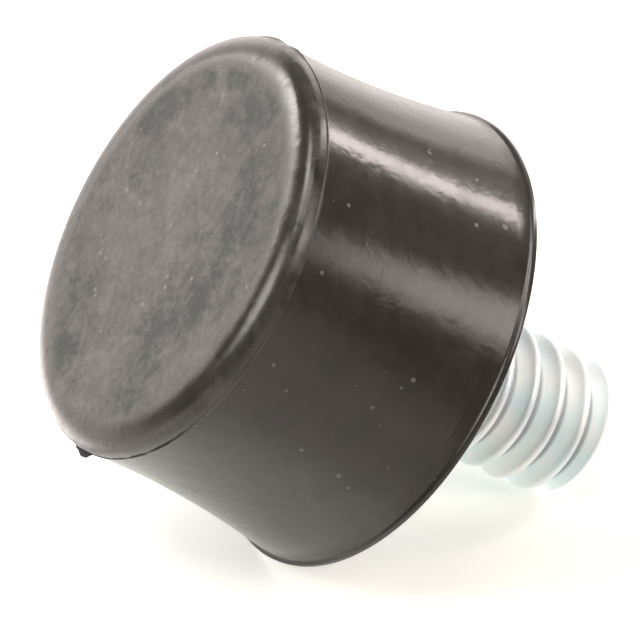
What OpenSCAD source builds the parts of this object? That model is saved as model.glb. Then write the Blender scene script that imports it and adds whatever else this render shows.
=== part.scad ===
// Rubber foot with a moulded-in threaded stud.
// The foot stands on its flat face at z = 0 and the stud points up along +Z.
// All sizes are in millimetres.

/* [Rubber body] */
// Height of the rubber, from the flat face to the base
body_h = 8.25; // [7:0.05:14]
// Diameter of the flat face that meets the desk
face_d = 10.8; // [9:0.1:12.4]
// Width of the rounded shoulder around the flat face
shoulder_w = 1.45; // [0.6:0.05:2]
// Height of the rounded shoulder, up to the parting line
shoulder_h = 0.65; // [0.4:0.05:1.4]
// Fullness of the shoulder's curve, where 2 is a plain ellipse
shoulder_full = 3; // [1.8:0.1:3.6]
// Diameter of the side where it reaches the base's collar
base_d = 14.8; // [13.6:0.1:18]
// How far the side is hollowed in, halfway up
side_hollow = 0.18; // [0:0.02:0.4]

/* [Mould marks] */
// Thickness of the thin rib that the mould leaves at the parting line
flash_t = 0.08; // [0.04:0.01:0.2]
// How far the rib stands out of the side
flash_proud = 0.06; // [0.02:0.01:0.2]

/* [Base lip] */
// Thickness of the lip
lip_t = 0.22; // [0.2:0.02:0.8]
// How far the lip stands out of the side
lip_proud = 0.2; // [0.1:0.05:0.8]
// Height of the slope on the lip's lower edge
lip_slope = 0.06; // [0.02:0.01:0.1]
// Size of the bevel on the lip's upper edge
lip_bevel = 0.04; // [0.02:0.01:0.08]

/* [Collar below the lip] */
// Height of the straight collar between the side and the lip
collar_h = 0.43; // [0.1:0.01:0.8]
// How far the collar leans out where it meets the lip
collar_out = 0.08; // [0.02:0.01:0.09]
// Depth of the fine step where the side meets the collar
collar_step = 0.02; // [0:0.01:0.08]

/* [Stud] */
// Outer diameter of the thread
stud_d = 4.826; // [4.6:0.002:6]
// Length of the stud outside the rubber
stud_l = 7.94; // [4:0.02:20]
// Diameter of the plain neck between the head and the thread
neck_d = 4.14; // [3.6:0.02:4.5]
// Length of the plain neck outside the rubber
neck_out = 0.3; // [0.1:0.05:1]
// Length over which the thread runs out into the neck
runout_l = 0.25; // [0.1:0.05:1]
// Length of the bevel at the stud's tip
tip_l = 0.4; // [0.2:0.05:1.2]
// Diameter of the stud's flat end
tip_d = 4.3; // [3:0.1:4.5]

/* [Moulded-in head] */
// Clearance between the thread's outside and the rubber at the bore's mouth
mouth_gap = 0.12; // [0.05:0.01:0.4]
// Depth of the bevelled mouth that the mould leaves around the neck
mouth_l = 0.4; // [0.1:0.05:0.8]
// Depth of rubber between the base and the head
head_cover = 2; // [1:0.1:3]
// Width of the hexagon head across its flats
head_af = 7.9; // [6:0.1:9]
// Height of the hexagon head
head_h = 2.6; // [1.6:0.1:3]
// Size of the bevel on the head's corners
head_bevel = 0.4; // [0.2:0.05:0.8]
// Layer of bonding agent between the rubber and the steel
bond_t = 0.02; // [0:0.01:0.05]

/* [Hidden] */
$fn = 128;
face_r = face_d / 2;
shoulder_r = face_r + shoulder_w;
base_r = base_d / 2;
lip_r = base_r + lip_proud;
side_z0 = shoulder_h + flash_t;
side_z1 = body_h - lip_t - collar_h;
stud_r = stud_d / 2;
neck_r = neck_d / 2;
head_z1 = body_h - head_cover;
head_z0 = head_z1 - head_h;
// A hexagon's corner radius from its width across flats
head_r = head_af / 2 / cos(30);

// Rounded shoulder: a quarter of a superellipse from the flat face's edge
// to the parting line.
function shoulder_points(steps = 12) = [
    for (i = [0:steps])
        let (a = 90 * i / steps, e = 2 / shoulder_full)
        [face_r + shoulder_w * pow(sin(a), e), shoulder_h * (1 - pow(cos(a), e))]
];

// Side: a shallow hollow curve from the parting line to the collar.
function side_points(steps = 12) = [
    for (i = [0:steps])
        let (u = i / steps)
        [shoulder_r + (base_r - shoulder_r) * u - 4 * side_hollow * u * (1 - u),
         side_z0 + (side_z1 - side_z0) * u]
];

// The half section of the rubber, without its cavity.
module rubber_section() {
    polygon(concat(
        [[0, 0]],
        shoulder_points(),
        [[shoulder_r + flash_proud, shoulder_h + flash_t / 2]],
        side_points(),
        [[base_r - collar_step, side_z1 + collar_step],
         [base_r + collar_out, body_h - lip_t],
         [lip_r, body_h - lip_t + lip_slope],
         [lip_r, body_h - lip_bevel],
         [lip_r - lip_bevel, body_h],
         [0, body_h]]
    ));
}

// The half section of the turned part of the stud: neck, thread and tip.
// `gap` grows its neck, for cutting the rubber's bore.
module shank_section(gap) {
    polygon([
        [0, head_z0 + head_h / 2],
        [neck_r + gap, head_z0 + head_h / 2],
        [neck_r + gap, body_h + neck_out],
        [stud_r, body_h + neck_out + runout_l],
        [stud_r, body_h + stud_l - tip_l],
        [tip_d / 2, body_h + stud_l],
        [0, body_h + stud_l]
    ]);
}

// The half section of the bevelled mouth, cut right through the base.
module mouth_section() {
    polygon([
        [0, body_h - mouth_l],
        [neck_r + bond_t, body_h - mouth_l],
        [stud_r + mouth_gap, body_h],
        [stud_r + mouth_gap, body_h + neck_out],
        [0, body_h + neck_out]
    ]);
}

// Hexagon head with both rims bevelled, as on an upset screw head.
module hex_head(gap) {
    top = head_z1 + gap;
    bottom = head_z0 - gap;
    rim = head_r + gap / cos(30);
    intersection() {
        translate([0, 0, bottom]) cylinder(r = rim, h = top - bottom, $fn = 6);
        rotate_extrude()
            polygon([
                [0, bottom],
                [rim - head_bevel, bottom],
                [rim, bottom + head_bevel],
                [rim, top - head_bevel],
                [rim - head_bevel, top],
                [0, top]
            ]);
    }
}

// The whole stud, or the space it takes up when `gap` is added around it.
module stud_form(gap = 0) {
    hex_head(gap);
    rotate_extrude() shank_section(gap);
}

module rubber_body() {
    color([0.09, 0.09, 0.09])
        difference() {
            rotate_extrude() rubber_section();
            rotate_extrude() mouth_section();
            stud_form(bond_t);
        }
}

module threaded_stud() {
    color([0.80, 0.83, 0.84]) stud_form();
}

rubber_body();
threaded_stud();
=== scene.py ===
"""Rubber foot with a moulded-in threaded stud: its finish, its light and its camera.

Lengths are written in millimetres and made metres by MM. The flat face stands on
z = 0, and the stud points up along +Z.
"""

import math

import bmesh
import bpy
from mathutils import Matrix, Vector


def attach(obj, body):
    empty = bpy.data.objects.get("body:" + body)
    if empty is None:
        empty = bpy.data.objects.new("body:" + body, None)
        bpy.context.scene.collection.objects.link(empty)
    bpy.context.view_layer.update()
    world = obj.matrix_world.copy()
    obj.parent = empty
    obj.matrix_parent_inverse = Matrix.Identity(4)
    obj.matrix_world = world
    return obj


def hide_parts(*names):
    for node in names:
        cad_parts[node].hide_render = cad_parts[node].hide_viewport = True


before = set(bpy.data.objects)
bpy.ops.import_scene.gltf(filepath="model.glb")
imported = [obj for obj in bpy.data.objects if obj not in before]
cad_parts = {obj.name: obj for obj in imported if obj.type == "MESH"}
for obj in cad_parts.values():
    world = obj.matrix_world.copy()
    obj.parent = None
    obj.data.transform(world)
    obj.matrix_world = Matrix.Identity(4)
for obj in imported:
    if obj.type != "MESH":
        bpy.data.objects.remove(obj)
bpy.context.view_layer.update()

MM = 0.001

# ---------------------------------------------------------------- sizes, in mm

BODY_HEIGHT = 8.25
FACE_RADIUS = 5.4
SHOULDER_WIDTH = 1.45
SHOULDER_HEIGHT = 0.65
SHOULDER_FULLNESS = 3.0
RIB_THICKNESS = 0.08
RIB_PROUD = 0.025
RIB_EDGE_HALF = 0.022
RIB_EDGE_BACK = 0.009
BASE_RADIUS = 7.4
SIDE_HOLLOW = 0.18
LIP_THICKNESS = 0.22
LIP_PROUD = 0.2
LIP_SLOPE = 0.06
LIP_BEVEL = 0.04
COLLAR_HEIGHT = 0.43
COLLAR_OUT = 0.08
COLLAR_STEP = 0.02

STUD_RADIUS = 2.413
STUD_LENGTH = 7.94
PITCH = 25.4 / 24
ROOT_RADIUS = STUD_RADIUS - 0.6134 * PITCH
NECK_RADIUS = 2.07
NECK_OUT = 0.3
RUNOUT = 0.25
TIP_BEVEL = 0.4
TIP_RADIUS = 2.15
HEAD_FLATS = 7.9
HEAD_HEIGHT = 2.6
HEAD_BEVEL = 0.4
HEAD_TOP = BODY_HEIGHT - 2.0
BOND = 0.02
MOUTH_GAP = 0.12
MOUTH_DEPTH = 0.4

SHOULDER_RADIUS = FACE_RADIUS + SHOULDER_WIDTH
RIB_RADIUS = SHOULDER_RADIUS + RIB_PROUD
RIB_HEIGHT = SHOULDER_HEIGHT + RIB_THICKNESS / 2
LIP_RADIUS = BASE_RADIUS + LIP_PROUD
SIDE_LOW = SHOULDER_HEIGHT + RIB_THICKNESS
SIDE_TOP = BODY_HEIGHT - LIP_THICKNESS - COLLAR_HEIGHT
NECK_TOP = BODY_HEIGHT + NECK_OUT
STUD_TIP = BODY_HEIGHT + STUD_LENGTH
HEAD_CORNER = HEAD_FLATS / 2 / math.cos(math.radians(30))

# How finely the forms are drawn: radii of the rings on the flat face and on the base,
# and steps in one turn or along one stretch. The shoulder's steps crowd towards the face.
FACE_RINGS = (0, 2, 3.8, 5.0)
BASE_RINGS = (6.6, 5, 3.4)
SHOULDER_CROWDING = 1.15
RUBBER_STEPS = 320
THREAD_STEPS = 120
HEAD_STEPS = 72
SHOULDER_STEPS = 32
SIDE_STEPS = 40
BEVEL_STEPS = 4


# ------------------------------------------------------------- modelling tools

# Vertices nearer than this, in mm, are one vertex.
DOUBLED = 0.0005


def take(piece):
    """Leaves only this piece selected and active."""
    bpy.ops.object.select_all(action="DESELECT")
    piece.select_set(True)
    bpy.context.view_layer.objects.active = piece


def draw_section(name, points):
    """Draws an open line through (radius, height) points in the XZ plane, by extruding
    one vertex from point to point. The piece stays in edit mode."""
    bpy.ops.object.select_all(action="DESELECT")
    bpy.ops.mesh.primitive_plane_add(size=0.1 * MM)
    line = bpy.context.object
    line.name = name
    bpy.ops.object.mode_set(mode="EDIT")
    bpy.ops.mesh.select_all(action="SELECT")
    bpy.ops.mesh.merge(type="CENTER")
    here = (0.0, 0.0)
    for number, (radius, height) in enumerate(points):
        move = ((radius - here[0]) * MM, 0.0, (height - here[1]) * MM)
        if number == 0:
            bpy.ops.transform.translate(value=move)
        else:
            bpy.ops.mesh.extrude_region_move(TRANSFORM_OT_translate={"value": move})
        here = (radius, height)
    return line


def heal():
    """Merges doubled vertices and turns every face outwards, on the piece in edit mode."""
    bpy.ops.mesh.select_all(action="SELECT")
    bpy.ops.mesh.remove_doubles(threshold=DOUBLED * MM)
    bpy.ops.mesh.normals_make_consistent(inside=False)


def turn(name, section, steps):
    """A half section, both of its ends on the axis, turned once around Z."""
    piece = draw_section(name, section)
    bpy.ops.mesh.select_all(action="SELECT")
    bpy.ops.mesh.spin(steps=steps, angle=math.tau, center=(0, 0, 0), axis=(0, 0, 1))
    heal()
    bpy.ops.object.mode_set(mode="OBJECT")
    return piece


def apply_modifier(piece, kind, **settings):
    """Adds a modifier, sets it up and applies it."""
    take(piece)
    bpy.ops.object.modifier_add(type=kind)
    modifier = piece.modifiers[-1]
    for setting, value in settings.items():
        setattr(modifier, setting, value)
    bpy.ops.object.modifier_apply(modifier=modifier.name)


def combine(piece, tool, operation):
    """Joins, cuts or trims a piece with a tool, which is used up."""
    apply_modifier(piece, "BOOLEAN", operation=operation, object=tool, solver="EXACT")
    bpy.data.objects.remove(tool)
    take(piece)
    bpy.ops.object.mode_set(mode="EDIT")
    heal()
    bpy.ops.object.mode_set(mode="OBJECT")


def smooth(piece, degrees):
    """Shades smooth, but for the edges that turn by more than this."""
    take(piece)
    bpy.ops.object.shade_smooth_by_angle(angle=math.radians(degrees))


# ------------------------------------------------------------- the rubber body

def side_radius(share):
    """The side's radius at a share of its height, from the rib up to the collar."""
    straight = SHOULDER_RADIUS + (BASE_RADIUS - SHOULDER_RADIUS) * share
    return straight - 4 * SIDE_HOLLOW * share * (1 - share)


def shoulder_points():
    """A quarter of a superellipse, from the flat face's edge round to the rib."""
    fullness = 2 / SHOULDER_FULLNESS
    points = []
    for number in range(SHOULDER_STEPS + 1):
        turn_by = math.radians(90 * (number / SHOULDER_STEPS) ** SHOULDER_CROWDING)
        points.append((FACE_RADIUS + SHOULDER_WIDTH * math.sin(turn_by) ** fullness,
                       SHOULDER_HEIGHT * (1 - max(math.cos(turn_by), 0) ** fullness)))
    return points


def side_points():
    """The hollow side, from the rib up to the collar."""
    shares = [number / SIDE_STEPS for number in range(SIDE_STEPS + 1)]
    return [(side_radius(share), SIDE_LOW + (SIDE_TOP - SIDE_LOW) * share) for share in shares]


def lip_points():
    """The fine step, the leaning collar and the lip, with its edges a little rounded."""
    rim = BODY_HEIGHT - LIP_THICKNESS
    points = [(BASE_RADIUS - COLLAR_STEP, SIDE_TOP + COLLAR_STEP),
              (BASE_RADIUS + COLLAR_OUT - 0.008, rim - 0.03),
              (BASE_RADIUS + COLLAR_OUT + 0.006, rim - 0.004),
              (BASE_RADIUS + COLLAR_OUT + 0.035, rim + 0.012),
              (LIP_RADIUS - 0.045, rim + LIP_SLOPE - 0.03),
              (LIP_RADIUS - 0.015, rim + LIP_SLOPE - 0.01),
              (LIP_RADIUS, rim + LIP_SLOPE + 0.015)]
    for number in range(BEVEL_STEPS + 1):
        turn_by = math.radians(90 * number / BEVEL_STEPS)
        points.append((LIP_RADIUS - LIP_BEVEL * (1 - math.cos(turn_by)),
                       BODY_HEIGHT - LIP_BEVEL * (1 - math.sin(turn_by))))
    return points


def pocket_points():
    """The rounded mouth, the bore around the neck and the pocket around the head."""
    mouth = STUD_RADIUS + MOUTH_GAP
    bore = NECK_RADIUS + BOND
    pocket = HEAD_CORNER + BOND
    bottom = HEAD_TOP - HEAD_HEIGHT - BOND
    return [(mouth + 0.06, BODY_HEIGHT), (mouth, BODY_HEIGHT - 0.03),
            (bore + 0.05, BODY_HEIGHT - MOUTH_DEPTH + 0.05),
            (bore, BODY_HEIGHT - MOUTH_DEPTH), (bore, HEAD_TOP + BOND),
            (pocket - HEAD_BEVEL, HEAD_TOP + BOND),
            (pocket, HEAD_TOP + BOND - HEAD_BEVEL),
            (pocket, bottom + HEAD_BEVEL), (pocket - HEAD_BEVEL, bottom),
            (0, bottom)]


def rubber_section():
    """From the face's centre out over the shoulder, up the side to the lip, back in
    over the base, and down around the pocket that holds the stud's head."""
    face = [(radius, 0) for radius in FACE_RINGS]
    rib = [(RIB_RADIUS - RIB_EDGE_BACK, RIB_HEIGHT - RIB_EDGE_HALF), (RIB_RADIUS, RIB_HEIGHT),
           (RIB_RADIUS - RIB_EDGE_BACK, RIB_HEIGHT + RIB_EDGE_HALF)]
    base = [(radius, BODY_HEIGHT) for radius in BASE_RINGS]
    return (face + shoulder_points() + rib + side_points() + lip_points() + base
            + pocket_points())


def pull_rib(piece, middle, spread, reach):
    """Pulls the mould's thin rib outwards over a short arc, in four pulls of which each
    takes in less of the arc, so that it reaches furthest at its middle."""
    take(piece)
    bpy.ops.object.mode_set(mode="EDIT")
    mesh = bmesh.from_edit_mesh(piece.data)
    pulls = (1.0, 0.75, 0.5, 0.25)
    factor = 1 + reach / len(pulls) / RIB_RADIUS
    for share in pulls:
        bpy.ops.mesh.select_all(action="DESELECT")
        for vertex in mesh.verts:
            x, y, z = vertex.co / MM
            away = (math.degrees(math.atan2(y, x)) - middle + 180) % 360 - 180
            vertex.select = (abs(z - RIB_HEIGHT) < 0.01 and math.hypot(x, y) > SHOULDER_RADIUS
                             and abs(away) < spread * share)
        mesh.select_flush(True)
        bmesh.update_edit_mesh(piece.data)
        bpy.ops.transform.resize(value=(factor, factor, 1),
                                 center_override=(0, 0, RIB_HEIGHT * MM))
        mesh = bmesh.from_edit_mesh(piece.data)
    bpy.ops.object.mode_set(mode="OBJECT")


# Where the mould has left more of its rib, and two torn bits of flash on the +X side:
# the middle of each and its spread to either side in degrees, and its reach in mm.
FLASH = (
    (22.5, 1.6, 0.18), (2, 4.5, 0.2), (-1, 1.6, 0.07), (6, 1.4, 0.07), (168, 15, 0.07),
    (176, 6, 0.04), (-170, 5, 0.05), (120, 7, 0.04), (84, 3, 0.06), (52, 9, 0.03),
)

body = turn("foot_rubber", rubber_section(), RUBBER_STEPS)
for middle, spread, reach in FLASH:
    pull_rib(body, middle, spread, reach)
smooth(body, 38)
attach(body, "root")
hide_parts("rubber_body")


# -------------------------------------------------------------------- the stud

def thread_section():
    """One pitch of the thread, from root to root: rounded root, straight flanks that
    lean 30 degrees, and a rounded crest. Points are steps along the stud and out."""
    depth = STUD_RADIUS - ROOT_RADIUS
    crest = PITCH / 2 - PITCH / 16 - 0.03
    root_round = [(0.0, 0.0), (0.03, 0.004), (0.06, 0.018), (0.085, 0.045), (0.105, 0.08)]
    crest_round = [(-0.072, -0.148), (-0.045, -0.093), (-0.012, -0.049), (0.028, -0.018),
                   (0.07, -0.003)]
    half = root_round + [(crest + along, depth + out) for along, out in crest_round]
    half.append((PITCH / 2, depth))
    rising = [(ROOT_RADIUS + out, along) for along, out in half]
    falling = [(radius, PITCH - along) for radius, along in reversed(rising[:-1])]
    return rising + falling


def threaded_rod():
    """The thread at its full diameter, cut flat at the tip and a little below the neck's
    end. Its groove starts at the neck's end, on the +X side, and its first two turns lie
    below that, so that the lower cut meets whole turns all the way round."""
    start = NECK_TOP - 2 * PITCH
    turns = math.ceil((STUD_TIP - start) / PITCH) + 1
    rod = draw_section("foot_stud", [(radius, start + z) for radius, z in thread_section()])
    bpy.ops.object.mode_set(mode="OBJECT")
    apply_modifier(rod, "SCREW", axis="Z", angle=math.tau, screw_offset=PITCH * MM,
                   iterations=turns, steps=THREAD_STEPS, render_steps=THREAD_STEPS,
                   use_merge_vertices=True, merge_threshold=DOUBLED * MM)
    take(rod)
    bpy.ops.object.mode_set(mode="EDIT")
    heal()
    for height, keep_below in ((STUD_TIP, True), (NECK_TOP - 0.1, False)):
        bpy.ops.mesh.select_all(action="SELECT")
        bpy.ops.mesh.bisect(plane_co=(0, 0, height * MM), plane_no=(0, 0, 1), use_fill=True,
                            clear_outer=keep_below, clear_inner=not keep_below,
                            threshold=0.0001 * MM)
    heal()
    bpy.ops.object.mode_set(mode="OBJECT")
    return rod


def envelope():
    """What the thread is trimmed to: it runs out into the neck and is bevelled at the tip."""
    low, high = NECK_TOP - 0.15, STUD_TIP + 0.02
    return turn("envelope", [
        (0, low), (NECK_RADIUS - 0.02, low), (NECK_RADIUS, NECK_TOP),
        (STUD_RADIUS + 0.02, NECK_TOP + RUNOUT), (STUD_RADIUS + 0.02, STUD_TIP - TIP_BEVEL),
        (STUD_RADIUS - 0.03, STUD_TIP - TIP_BEVEL * 0.75), (TIP_RADIUS + 0.03, STUD_TIP - 0.06),
        (TIP_RADIUS, high), (0, high)], THREAD_STEPS)


def neck():
    """The plain neck, from inside the head to a point inside the thread's core."""
    low, high = HEAD_TOP - 0.8, NECK_TOP + RUNOUT + 0.15
    return turn("neck", [
        (0, low), (NECK_RADIUS, low), (NECK_RADIUS, NECK_TOP - 0.01),
        (NECK_RADIUS - 0.04, NECK_TOP + 0.03), (ROOT_RADIUS - 0.1, high), (0, high)],
        THREAD_STEPS)


def hexagon_head():
    """A hexagon with both of its rims bevelled."""
    low = HEAD_TOP - HEAD_HEIGHT
    bpy.ops.object.select_all(action="DESELECT")
    bpy.ops.mesh.primitive_cylinder_add(vertices=6, radius=HEAD_CORNER * MM,
                                        depth=HEAD_HEIGHT * MM,
                                        location=(0, 0, (low + HEAD_HEIGHT / 2) * MM),
                                        rotation=(0, 0, math.radians(30)))
    head = bpy.context.object
    bpy.ops.object.transform_apply(location=True, rotation=True, scale=True)
    rims = turn("head_rims", [
        (0, low), (HEAD_CORNER - HEAD_BEVEL, low), (HEAD_CORNER, low + HEAD_BEVEL),
        (HEAD_CORNER, HEAD_TOP - HEAD_BEVEL), (HEAD_CORNER - HEAD_BEVEL, HEAD_TOP),
        (0, HEAD_TOP)], HEAD_STEPS)
    combine(head, rims, "INTERSECT")
    return head


stud = threaded_rod()
combine(stud, envelope(), "INTERSECT")
combine(stud, neck(), "UNION")
combine(stud, hexagon_head(), "UNION")
smooth(stud, 35)
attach(stud, "root")
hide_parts("threaded_stud")


# -------------------------------------------------------------- shader writing

class Value:
    """A number or vector inside a shader, so that a finish reads as plain sums. Each sum
    adds its Math node."""

    def __init__(self, maker, socket):
        self.maker = maker
        self.socket = socket

    def _math(self, operation, first, second):
        return self.maker.node("Math", {"operation": operation}, {0: first, 1: second})

    def __add__(self, other):
        return self._math("ADD", self, other)

    def __radd__(self, other):
        return self._math("ADD", other, self)

    def __sub__(self, other):
        return self._math("SUBTRACT", self, other)

    def __rsub__(self, other):
        return self._math("SUBTRACT", other, self)

    def __mul__(self, other):
        return self._math("MULTIPLY", self, other)

    def __rmul__(self, other):
        return self._math("MULTIPLY", other, self)

    def __truediv__(self, other):
        return self._math("DIVIDE", self, other)

    def __pow__(self, other):
        return self._math("POWER", self, other)

    def at_least(self, other):
        return self._math("MAXIMUM", self, other)

    def at_most(self, other):
        return self._math("MINIMUM", self, other)

    def share(self):
        """The number kept between 0 and 1."""
        return self.at_least(0.0).at_most(1.0)

    def sway(self, reach):
        """A pattern from 0 to 1 becomes one that swings about 0, over this reach in all."""
        return (self - 0.5) * reach

    def ramp(self, low, high):
        """0 at low and 1 at high, with soft ends. low may be above high."""
        flip = low > high
        eased = self.maker.node("MapRange", {"interpolation_type": "SMOOTHSTEP"},
                                {"Value": self, "From Min": min(low, high),
                                 "From Max": max(low, high)})
        return 1 - eased if flip else eased


class Maker:
    """Adds nodes to one node tree."""

    def __init__(self, tree):
        self.tree = tree
        tree.nodes.clear()

    def node(self, kind, settings=None, sockets=None, out=0):
        """Adds a node: its settings first, then the values or links of its sockets."""
        node = self.tree.nodes.new("ShaderNode" + kind)
        for setting, value in (settings or {}).items():
            setattr(node, setting, value)
        for name, value in (sockets or {}).items():
            socket = node.inputs[name]
            if isinstance(value, Value):
                self.tree.links.new(value.socket, socket)
            else:
                socket.default_value = value
        return Value(self, node.outputs[out]) if node.outputs else None

    def blend(self, share, first, second):
        """A colour between two colours."""
        return self.node("Mix", {"data_type": "RGBA"},
                         {0: share, 6: paint(first), 7: paint(second)}, out=2)

    def point(self):
        """The point on the piece, in metres from its own origin."""
        return self.node("TexCoord", out=3)

    def place(self):
        """The point on the piece, in millimetres."""
        return self.node("VectorMath", {"operation": "SCALE"}, {0: self.point(), "Scale": 1 / MM})

    def split(self, vector):
        """A vector's three numbers."""
        return [self.node("SeparateXYZ", {}, {0: vector}, out=axis) for axis in range(3)]

    def clouds(self, place, scale, detail=3.0, rough=0.5, warp=0.0):
        """A soft pattern from 0 to 1, finer as its scale goes up."""
        return self.node("TexNoise", {"noise_dimensions": "3D"},
                         {"Vector": place, "Scale": scale, "Detail": detail,
                          "Roughness": rough, "Distortion": warp})

    def distance(self, place, point):
        """How far a place is from a point."""
        return self.node("VectorMath", {"operation": "DISTANCE"}, {0: place, 1: point}, out=1)

    def along(self, vector, axis):
        """How far a vector reaches along an axis."""
        return self.node("VectorMath", {"operation": "DOT_PRODUCT"}, {0: vector, 1: axis}, out=1)

    def seen_by_camera(self):
        """1 where the camera looks straight at it, and 0 for light and reflections."""
        return self.node("LightPath")


def paint(color):
    """Three numbers become a colour with full alpha; a link stays as it is."""
    return color if isinstance(color, Value) else (*color, 1.0)


def new_finish(name):
    """A new material, and the maker that fills it."""
    material = bpy.data.materials.new(name)
    material.use_nodes = True
    return material, Maker(material.node_tree)


def coat(piece, material):
    """Gives a piece this one finish all over."""
    piece.data.materials.clear()
    piece.data.materials.append(material)


# ------------------------------------------------------------ the rubber finish

# Colours of the rubber: bare and dusty on its worn face, bare and filmed on its side.
FACE_BARE = (0.002, 0.006, 0.005)
FACE_DUSTY = (0.138, 0.130, 0.122)
SIDE_BARE = (0.020, 0.0180, 0.0145)
SIDE_FILMED = (0.042, 0.0370, 0.0315)
SCUFFED = (0.088, 0.085, 0.078)
# The colour of the painted shade along the rib.
RIB_SHADE_COLOR = (0.012, 0.013, 0.014)
DUST_SPECK = (0.34, 0.32, 0.30)

# The side of the rib that is painted darker as shade: the +X side, which lies against the bench.
RIB_SHADE_SIDE = (0.966, -0.259, 0)

# Marks on the flat face, the dark ones and the rubbed ones: x, y, length and width in mm,
# turn in degrees, softness of the edge, and strength.
FACE_SMUDGES = (
    (1.15, -3.4, 1.05, 0.62, 12, 0.5, 1.0),
    (2.1, -2.75, 0.8, 0.32, 32, 0.5, 0.7),
    (3.1, -2.0, 2.6, 1.05, -6, 0.7, 0.7),
    (3.77, -2.7, 0.24, 0.2, 0, 0.6, 1.0),
    (4.6, 2.9, 1.15, 0.65, 110, 0.6, 0.9),
    (-3.7, 3.6, 1.2, 0.8, 60, 0.6, 0.8),
    (-4.9, 1.9, 0.65, 0.35, 100, 0.6, 0.7),
    (-5.25, 0.2, 0.95, 0.35, 85, 0.5, 0.8),
    (-4.65, -1.65, 1.0, 0.65, 75, 0.6, 0.9),
    (-1.7, -3.5, 1.6, 0.75, -6, 0.7, 0.75),
    (-2.9, -3.0, 0.7, 0.5, 20, 0.6, 0.6),
    (0.6, -4.8, 0.9, 0.35, 0, 0.6, 0.5),
    (-1.9, -5.1, 0.9, 0.3, -15, 0.6, 0.4),
    (0.3, -2.4, 0.6, 0.5, 0, 0.7, 0.45),
    (2.7, 3.5, 0.7, 0.5, 40, 0.7, 0.45),
    (-1.5, 3.2, 0.55, 0.4, 60, 0.7, 0.4),
)
FACE_RUBS = (
    (0.4, 0.5, 1.9, 1.4, 55, 0.9, 0.65),
    (-0.1, 1.9, 0.9, 0.6, 70, 0.8, 0.5),
    (-2.2, -0.4, 1.3, 0.9, 70, 0.8, 0.55),
    (-1.3, 1.0, 0.9, 0.6, 60, 0.7, 0.6),
    (-1.45, 4.15, 0.9, 0.13, -38, 0.9, 0.8),
    (-0.7, 3.05, 0.7, 0.13, -82, 0.9, 0.9),
    (-0.9, 1.6, 1.0, 0.2, 72, 0.9, 0.7),
    (-5.15, 1.25, 0.95, 0.14, -57, 0.9, 0.9),
    (2.6, -4.1, 1.5, 0.6, 40, 0.7, 0.5),
    (4.8, 1.2, 1.1, 0.7, 80, 0.8, 0.5),
    (5.6, 0.2, 1.0, 0.25, 85, 0.7, 0.7),
    (0.6, 2.9, 1.1, 0.8, 70, 0.8, 0.4),
)
# Grains of dust on the face: x, y, z and radius in mm.
FACE_GRAINS = (
    (-0.85, 3.57, 0, 0.12), (-0.65, 2.43, 0, 0.09), (0.77, 3.82, 0, 0.07), (1.27, 3.37, 0, 0.09),
    (2.35, 2.65, 0, 0.1), (2.5, 2.5, 0, 0.08), (1.35, 2.9, 0, 0.08), (-3.23, 2.03, 0, 0.08),
    (-4.65, 0.6, 0, 0.1), (-2.23, 0.15, 0, 0.08), (-0.4, 0.07, 0, 0.09), (-0.9, -0.35, 0, 0.07),
    (2.1, -0.43, 0, 0.08), (1.02, -1.07, 0, 0.09), (1.35, -1.23, 0, 0.1), (-2.98, -0.6, 0, 0.09),
    (-2.95, -1.1, 0, 0.08), (-0.65, -1.77, 0, 0.06), (0.77, -2.47, 0, 0.09), (3.1, -2.1, 0, 0.08),
    (-3.73, -3.0, 0, 0.08), (-0.65, -4.2, 0, 0.08), (-0.23, -3.93, 0, 0.07), (0.27, -5.6, 0, 0.09),
    (3.6, -2.43, 0, 0.06), (-0.07, -2.43, 0, 0.06), (-1.7, 2.2, 0, 0.06), (3.4, 1.2, 0, 0.06),
)
# Grains of dust on the side: bearing in degrees from +X, height and radius in mm.
SIDE_GRAINS = (
    (-129.5, 7.2, 0.09), (-144.7, 4.65, 0.1), (-146, 4.7, 0.06), (-84.7, 5.67, 0.09),
    (-81.7, 5.45, 0.06), (-74.2, 4.98, 0.07), (-52, 6.12, 0.08), (-53.8, 5.62, 0.1),
    (-55.3, 4.05, 0.07), (-117.5, 1.67, 0.06), (-98.8, 1.42, 0.07), (-73, 1.4, 0.08),
    (-68.3, 2.28, 0.06), (-141, 6.3, 0.06), (-127, 6.2, 0.07), (-62.5, 6.6, 0.05),
)


def strongest(masks):
    """Several masks as one, which is as strong as the strongest of them."""
    found = masks[0]
    for mask in masks[1:]:
        found = found.at_least(mask)
    return found


def mark(x, y, wander, spot):
    """An oval mark, which fades over its edge. The edge wanders with the grain."""
    left, low, length, width, degrees, edge, strength = spot
    cosine, sine = math.cos(math.radians(degrees)), math.sin(math.radians(degrees))
    run = ((x - left) * cosine + (y - low) * sine) / length
    rise = ((y - low) * cosine - (x - left) * sine) / width
    reach = (run * run + rise * rise) ** 0.5 + wander
    return reach.ramp(1.1 + edge, 0.9 - edge) * strength


def grain_of_dust(make, place, ragged, spot):
    """1 at the middle of a small round grain with a ragged edge."""
    *point, radius = spot
    return (make.distance(place, point) + ragged * radius).ramp(radius * 1.25, 0.0)


def on_the_side(spot):
    """A grain given by its bearing and height, as a point on the hollow side."""
    bearing, height, radius = spot
    reach = side_radius((height - SIDE_LOW) / (SIDE_TOP - SIDE_LOW))
    bearing = math.radians(bearing)
    return reach * math.cos(bearing), reach * math.sin(bearing), height, radius


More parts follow.
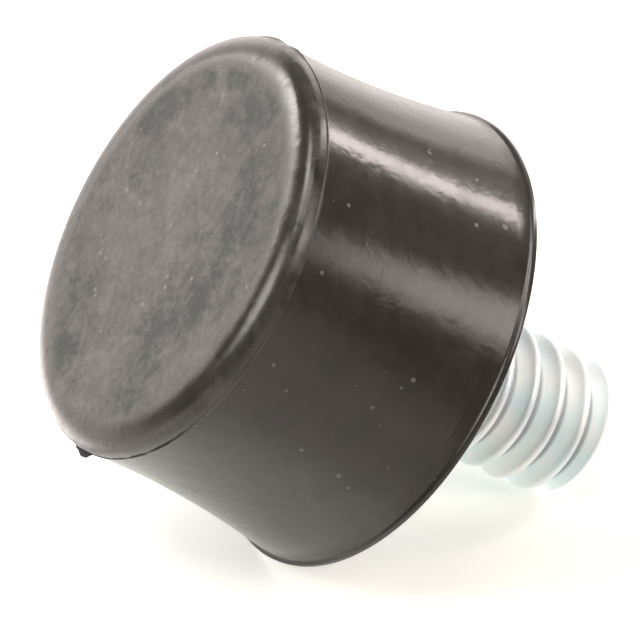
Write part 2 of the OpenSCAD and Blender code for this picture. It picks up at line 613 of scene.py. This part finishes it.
def specks_of_dust(make, place, ragged):
    """Specks of pale dust, some scattered and faint, and some where they have settled."""
    spacing = {"Vector": place, "Scale": 2.6}
    cell = make.node("TexVoronoi", {"feature": "F1"}, spacing)
    lot = make.node("TexVoronoi", {"feature": "F1"}, spacing, out=1)
    picked = make.split(lot)[0].ramp(0.8, 0.86)
    scattered = cell.ramp(0.12, 0.04) * picked * 0.45
    spots = FACE_GRAINS + tuple(on_the_side(spot) for spot in SIDE_GRAINS)
    settled = strongest([grain_of_dust(make, place, ragged, spot) for spot in spots])
    return scattered.at_least(settled)


def rubber_finish():
    """Moulded rubber: a worn, dusty face, and a side that is half glossy, nearly black and a
    little browner in patches, with a painted shade along the rib on its +X side."""
    material, make = new_finish("moulded_rubber")
    place = make.place()
    x, y, z = make.split(place)
    radius = (x * x + y * y) ** 0.5

    broad = make.clouds(place, 0.42, 3, 0.55, 0.4)
    patchy = make.clouds(place, 1.3, 2, 0.5, 0.5)
    mottle = make.clouds(place, 3.6, 1, 0.5)
    grain = make.clouds(place, 9.0, 3, 0.6)

    # The worn, dusty finish covers the flat face and ends on its shoulder.
    limit = 5.9 + patchy.sway(0.2) + mottle.sway(0.04)
    worn = (radius - limit).ramp(0.4, -0.4) * z.ramp(0.3, 0.2)

    # A scuffed band runs round the outer shoulder, up to the mould's rib.
    shoulder = z.ramp(0.1, 0.34) * z.ramp(0.8, 0.71) * radius.ramp(6.94, 6.88)
    scuff = (shoulder * (0.35 + broad.sway(1.8) + mottle.sway(0.6) + patchy.sway(1.0))).share()

    # Painted shade lies along the rib in broken lengths, on the +X side that the shade side above
    # points to, where the foot lies against the bench. The same mask makes the rubber rougher
    # there.
    along_rib = (make.along(place, RIB_SHADE_SIDE) / radius).ramp(0.80, 0.95)
    line = 0.045 + patchy.sway(0.16) + mottle.sway(0.12)
    off_rib = ((z - RIB_HEIGHT) * (z - RIB_HEIGHT)) ** 0.5
    painted_rib_shade = (line - off_rib).ramp(-0.03, 0.03) * along_rib * radius.ramp(6.7, 6.8)

    # Dust lies on the face in clouds, thinner on the dark marks and thicker on the rubs.
    wander = patchy.sway(1.3) + mottle.sway(0.5)
    dark = strongest([mark(x, y, wander, spot) for spot in FACE_SMUDGES])
    pale = strongest([mark(x, y, wander, spot) for spot in FACE_RUBS])
    dust = (0.58 + broad.sway(1.0) + patchy.sway(1.0) + mottle.sway(0.75) + grain.sway(0.9)
            + pale * 0.36 - dark * 0.5).share()
    face_color = make.blend(dust, FACE_BARE, FACE_DUSTY)

    # A thin film of dust lies on the side.
    film = (0.35 + broad.sway(0.9) + patchy.sway(0.7) + mottle.sway(0.3)).share()
    side_color = make.blend(film, SIDE_BARE, SIDE_FILMED)
    side_color = make.blend(scuff * 0.6, side_color, SCUFFED)
    # The rib's painted shade darkens the side.
    side_color = make.blend(painted_rib_shade, side_color, RIB_SHADE_COLOR)
    color = make.blend(worn, side_color, face_color)

    # The specks show more on the face than on the side.
    specks = specks_of_dust(make, place, mottle.sway(1.6))
    color = make.blend(specks * (0.32 + worn * 0.28), color, DUST_SPECK)

    face_rough = 0.6 + dust.sway(0.15)
    side_rough = 0.165 + film * 0.07 + patchy.sway(0.08) + scuff * 0.3 + painted_rib_shade * 0.6
    rough = side_rough + (face_rough - side_rough) * worn + specks * 0.3
    height = patchy + (mottle * 0.35 + grain * 0.12) * (0.6 + worn)
    bump = make.node("Bump", {}, {"Strength": 1.0, "Distance": 0.012 * MM, "Height": height})
    surface = make.node("BsdfPrincipled", {}, {
        "Base Color": color, "Roughness": rough.at_most(0.9), "IOR": 1.5, "Normal": bump})
    make.node("OutputMaterial", {}, {"Surface": surface})
    return material


coat(body, rubber_finish())


# -------------------------------------------------------------- the zinc finish

# Colours of the plated steel: bluish and warmer patches, pale spangles, and the dark of the
# thread's root, which is partly grime and partly painted shade.
ZINC_BLUISH = (0.79, 0.94, 0.97)
ZINC_WARM = (0.95, 0.97, 0.94)
ZINC_SPANGLE = (0.84, 0.92, 0.98)
ROOT_GRIME_AND_SHADE = (0.26, 0.27, 0.31)


def zinc_finish():
    """Bright zinc plate, finely spangled, with a darker root to its thread: partly grime, partly
    painted shade.
    """
    material, make = new_finish("bright_zinc")
    place = make.place()
    x, y = make.split(place)[:2]
    radius = (x * x + y * y) ** 0.5
    tint = make.clouds(place, 0.4, 3, 0.5, 0.3)
    spangle = make.clouds(place, 6.0, 3, 0.6)
    scuff = make.clouds(place, 30.0, 2, 0.5)
    plate = make.blend(tint.ramp(0.3, 0.7), ZINC_BLUISH, ZINC_WARM)
    plate = make.blend((spangle - 0.35).at_least(0) * 0.6, plate, ZINC_SPANGLE)
    # The thread's root is painted darker: partly grime, and partly painted shade where the ridges
    # keep light out.
    root = radius.ramp(ROOT_RADIUS + 0.14, ROOT_RADIUS + 0.02)
    color = make.blend(root * 0.65, plate, ROOT_GRIME_AND_SHADE)
    rough = 0.52 + spangle.sway(0.2) + root * 0.15
    bump = make.node("Bump", {}, {"Strength": 1.0, "Distance": 0.006 * MM,
                                  "Height": spangle * 0.7 + scuff * 0.3})
    surface = make.node("BsdfPrincipled", {}, {
        "Base Color": color, "Metallic": 0.65, "Roughness": rough, "Normal": bump})
    make.node("OutputMaterial", {}, {"Surface": surface})
    return material


coat(stud, zinc_finish())


# ------------------------------------------------------------- camera and light

# The foot lies on its lip and the tip of its stud: which way is up, away and right there.
UP = Vector((-0.80315, -0.19456, -0.56312))
AWAY = Vector((-0.41433, 0.86158, 0.29327))
RIGHT = Vector((-0.42811, -0.46886, 0.77259))
MIDDLE = Vector((0, 0, 7)) * MM
LIP_POINT = Vector((7.387, 1.787, 8.25)) * MM

# The camera: how it is turned, where it stands, and its lens, given with the frame's width
# in pixels.
VIEW_RIGHT = Vector((-0.42812, -0.46886, 0.77258))
VIEW_UP = Vector((-0.90372, 0.22377, -0.36498))
VIEW_BACK = Vector((-0.00176, -0.85446, -0.51952))
CAMERA_PLACE = Vector((0, -118.885, -66.126)) * MM
FRAME_PIXELS = 640
LENS_PIXELS = 4500
SENSOR_WIDTH = 36

# How far the windows stand from the foot, in metres.
WINDOW_DISTANCE = 0.5


def turned_to(across, upward, backward, place):
    """The matrix of a camera or lamp that stands at a place, turned to three directions."""
    turn = Matrix((across, upward, backward)).transposed().to_4x4()
    return Matrix.Translation(place) @ turn


def set_camera():
    """A camera with a long lens, level with the bench."""
    data = bpy.data.cameras.new("camera")
    data.sensor_width = SENSOR_WIDTH
    data.lens = LENS_PIXELS / FRAME_PIXELS * SENSOR_WIDTH
    data.clip_start = 0.005
    data.clip_end = 20
    camera = bpy.data.objects.new("camera", data)
    bpy.context.scene.collection.objects.link(camera)
    camera.matrix_world = turned_to(VIEW_RIGHT, VIEW_UP, VIEW_BACK, CAMERA_PLACE)
    bpy.context.scene.camera = camera


def heading(bearing, height):
    """A direction by its bearing to the right of straight away, and its height above
    the bench, both in degrees."""
    bearing, height = math.radians(bearing), math.radians(height)
    level = AWAY * math.cos(bearing) + RIGHT * math.sin(bearing)
    return level * math.cos(height) + UP * math.sin(height)


def facing(bearing, height, roll):
    """Directions toward a place in the room, across it and up it."""
    toward = heading(bearing, height)
    across = toward.cross(UP).normalized()
    spin = Matrix.Rotation(math.radians(roll), 3, toward)
    return toward, spin @ across, spin @ across.cross(toward).normalized()


def window(name, bearing, height, wide, tall, strength, color, roll=0.0):
    """A rectangular lamp seen from the foot as so many degrees wide and tall."""
    lamp = bpy.data.lights.new(name, "AREA")
    lamp.shape = "RECTANGLE"
    lamp.size = 2 * WINDOW_DISTANCE * math.tan(math.radians(wide / 2))
    lamp.size_y = 2 * WINDOW_DISTANCE * math.tan(math.radians(tall / 2))
    lamp.color = color
    lamp.energy = strength * math.pi * lamp.size * lamp.size_y
    holder = bpy.data.objects.new(name, lamp)
    bpy.context.scene.collection.objects.link(holder)
    toward, across, upward = facing(bearing, height, roll)
    holder.matrix_world = turned_to(across, upward, toward, MIDDLE + toward * WINDOW_DISTANCE)
    holder.visible_camera = False


# Soft ovals of light in the room: bearing, height, reach across, reach upward and roll in
# degrees, and strength.
BENCH_GLOWS = ((-48, -26, 26, 20, 0, 3.4),)
WALL_GLOWS = ((14, 10, 10, 14, 0, 0.9), (-17, 15, 26, 24, 0, 1.9))
WARM_LAMP = (128, 33, 15, 40, 46, 1.0)
DIM_GLOWS = ((78, 32, 40, 30, 0, 0.12), (48, 31, 12, 22, 20, 0.9), (-98, 29, 24, 12, 25, 6.8),
             (-115, 34, 34, 16, 0, 1.0), (-93, 62, 20, 15, 0, 9.0), (20, 58, 60, 24, 0, 0.5))

# The light's colours: from the bench, from the wall, from above and from the warm lamp.
BENCH_TINT = (1.0, 0.925, 0.885)
WALL_TINT = (1.0, 0.90, 0.875)
ROOM_TINT = (1.0, 0.95, 0.92)
LAMP_TINT = (1.0, 0.87, 0.80)
WHITE = (1.0, 1.0, 1.0)


def glow(make, toward, oval):
    """A soft oval of light, full at its centre and fading to nothing at its edge."""
    bearing, height, wide, tall, roll, strength = oval
    centre, across, upward = facing(bearing, height, roll)
    run = make.along(toward, across) / math.sin(math.radians(wide))
    rise = make.along(toward, upward) / math.sin(math.radians(tall))
    before = make.along(toward, centre).ramp(0.0, 0.2)
    return (run * run + rise * rise).ramp(1, 0) * before * strength


def room():
    """The room round the bench: a white bench that is brightest straight ahead, a pale
    wall behind it, and dim above. The camera sees plain white."""
    world = bpy.data.worlds.new("room")
    bpy.context.scene.world = world
    world.use_nodes = True
    make = Maker(world.node_tree)
    toward = make.node("TexCoord")
    height = make.along(toward, UP)
    ahead = make.along(toward, AWAY)
    right = make.along(toward, RIGHT)

    # The bench lies below: dim near the foot, brighter to the left and far ahead.
    leftward = ahead * 0.5 - right * 0.866
    near = (0.1 + 0.75 * height.ramp(0.0, -0.35) + 0.35 * height.ramp(-0.3, -0.95)
            + 1.15 * leftward.ramp(-0.1, 0.85) * height.ramp(0.1, -0.25))
    far = 1.95 - 0.9 * height.ramp(-0.05, -0.4)
    bench = near + (far - near) * ahead.ramp(-0.1, 0.6)
    bench = sum((glow(make, toward, oval) for oval in BENCH_GLOWS), bench)
    is_bench = height.ramp(0.06, -0.06)

    # The wall stands ahead and to the left, up to a soft upper edge.
    wall = 1.3 + 0.9 * height.ramp(0.15, 0.3) * right.ramp(-0.3, 0.1)
    wall = sum((glow(make, toward, oval) for oval in WALL_GLOWS), wall)
    right_edge = right - ahead * 0.64 - height * 0.12 + 0.035
    is_wall = ((height - right * 0.15).ramp(0.58, 0.46) * right_edge.ramp(0.08, -0.08)
               * (right + ahead * 2.2).ramp(-0.05, 0.05))

    # The rest of the room is dim, with a warm lamp and a few glows.
    lamp = glow(make, toward, WARM_LAMP)
    level = sum((glow(make, toward, oval) for oval in DIM_GLOWS), 0.13 + lamp * 6.2)
    level = level + (wall - level) * is_wall
    level = level + (bench - level) * is_bench

    tint = make.blend(is_bench, ROOM_TINT, BENCH_TINT)
    tint = make.blend(is_wall * (1 - is_bench), tint, WALL_TINT)
    tint = make.blend(lamp, tint, LAMP_TINT)
    seen = make.seen_by_camera()
    strength = seen + (1 - seen) * level
    tint = make.blend(seen, tint, WHITE)
    surface = make.node("Background", {}, {"Color": tint, "Strength": strength})
    make.node("OutputWorld", {}, {"Surface": surface})


set_camera()
window("left_window", -53.0, 17.0, 7.5, 19, 12.0, (1.0, 0.97, 0.92))
window("right_window", 56.7, 29.5, 6.4, 40, 13.5, (1.0, 0.885, 0.855), roll=20)
window("ceiling_lamp", -170, 72, 26, 20, 6.0, (1.0, 0.97, 0.94))
room()


# --------------------------------------------------------------- floor and bench

# The paper's colour, and the colour that it shines with.
PAPER = (0.905, 0.925, 0.875)
PAPER_SHINE = (1, 1, 0.965)


def sheet_of_paper(name, centre, normal, reach, shine, painted_shade_fall=0.0, contact=0.0):
    """A round white sheet, seen only from above, that fades out towards its rim. The camera sees
    all of it, with the foot's shadow. Its own shine falls by `painted_shade_fall` with each
    millimetre to the right: a painted shade, which darkens the sheet under the flange and the
    stud. Reflections and bounced light only meet the part within `contact` of its centre."""
    bpy.ops.object.select_all(action="DESELECT")
    bpy.ops.mesh.primitive_circle_add(vertices=96, radius=reach, fill_type="TRIFAN")
    sheet = bpy.context.object
    sheet.name = name
    sheet.data.transform(Vector((0, 0, 1)).rotation_difference(normal).to_matrix().to_4x4())
    sheet.data.transform(Matrix.Translation(centre))
    material, make = new_finish(name + "_paper")
    point = make.point()
    away = make.distance(point, tuple(centre))
    underside = make.node("NewGeometry", out=6)
    seen = make.seen_by_camera()
    shown = away.ramp(reach, reach * 0.55)
    near = away.ramp(contact, contact * 0.6) if contact else 0.0
    shown = (near + (shown - near) * seen) * (1 - underside)
    white = make.node("BsdfDiffuse", {}, {"Color": paint(PAPER)})
    # Painted shade: the shine falls towards the right, under the flange and the stud.
    aside = make.along(point, RIGHT) - centre.dot(RIGHT)
    strength = (shine - aside * (painted_shade_fall / MM)).at_least(0.0)
    light = make.node("Emission", {}, {"Color": paint(PAPER_SHINE), "Strength": strength})
    lit = make.node("AddShader", {}, {0: white, 1: light})
    clear = make.node("BsdfTransparent")
    surface = make.node("MixShader", {}, {0: shown, 1: clear, 2: lit})
    make.node("OutputMaterial", {}, {"Surface": surface})
    coat(sheet, material)


sheet_of_paper("floor", Vector((0, 0, -0.03)) * MM, Vector((0, 0, 1)), reach=0.16, shine=0.4)
# The bench's shine falls to the right: a painted shade under the flange and the stud.
sheet_of_paper("bench", LIP_POINT, UP, reach=0.075, shine=0.46, painted_shade_fall=0.028, contact=0.012)

bpy.context.scene.view_settings.view_transform = "Standard"
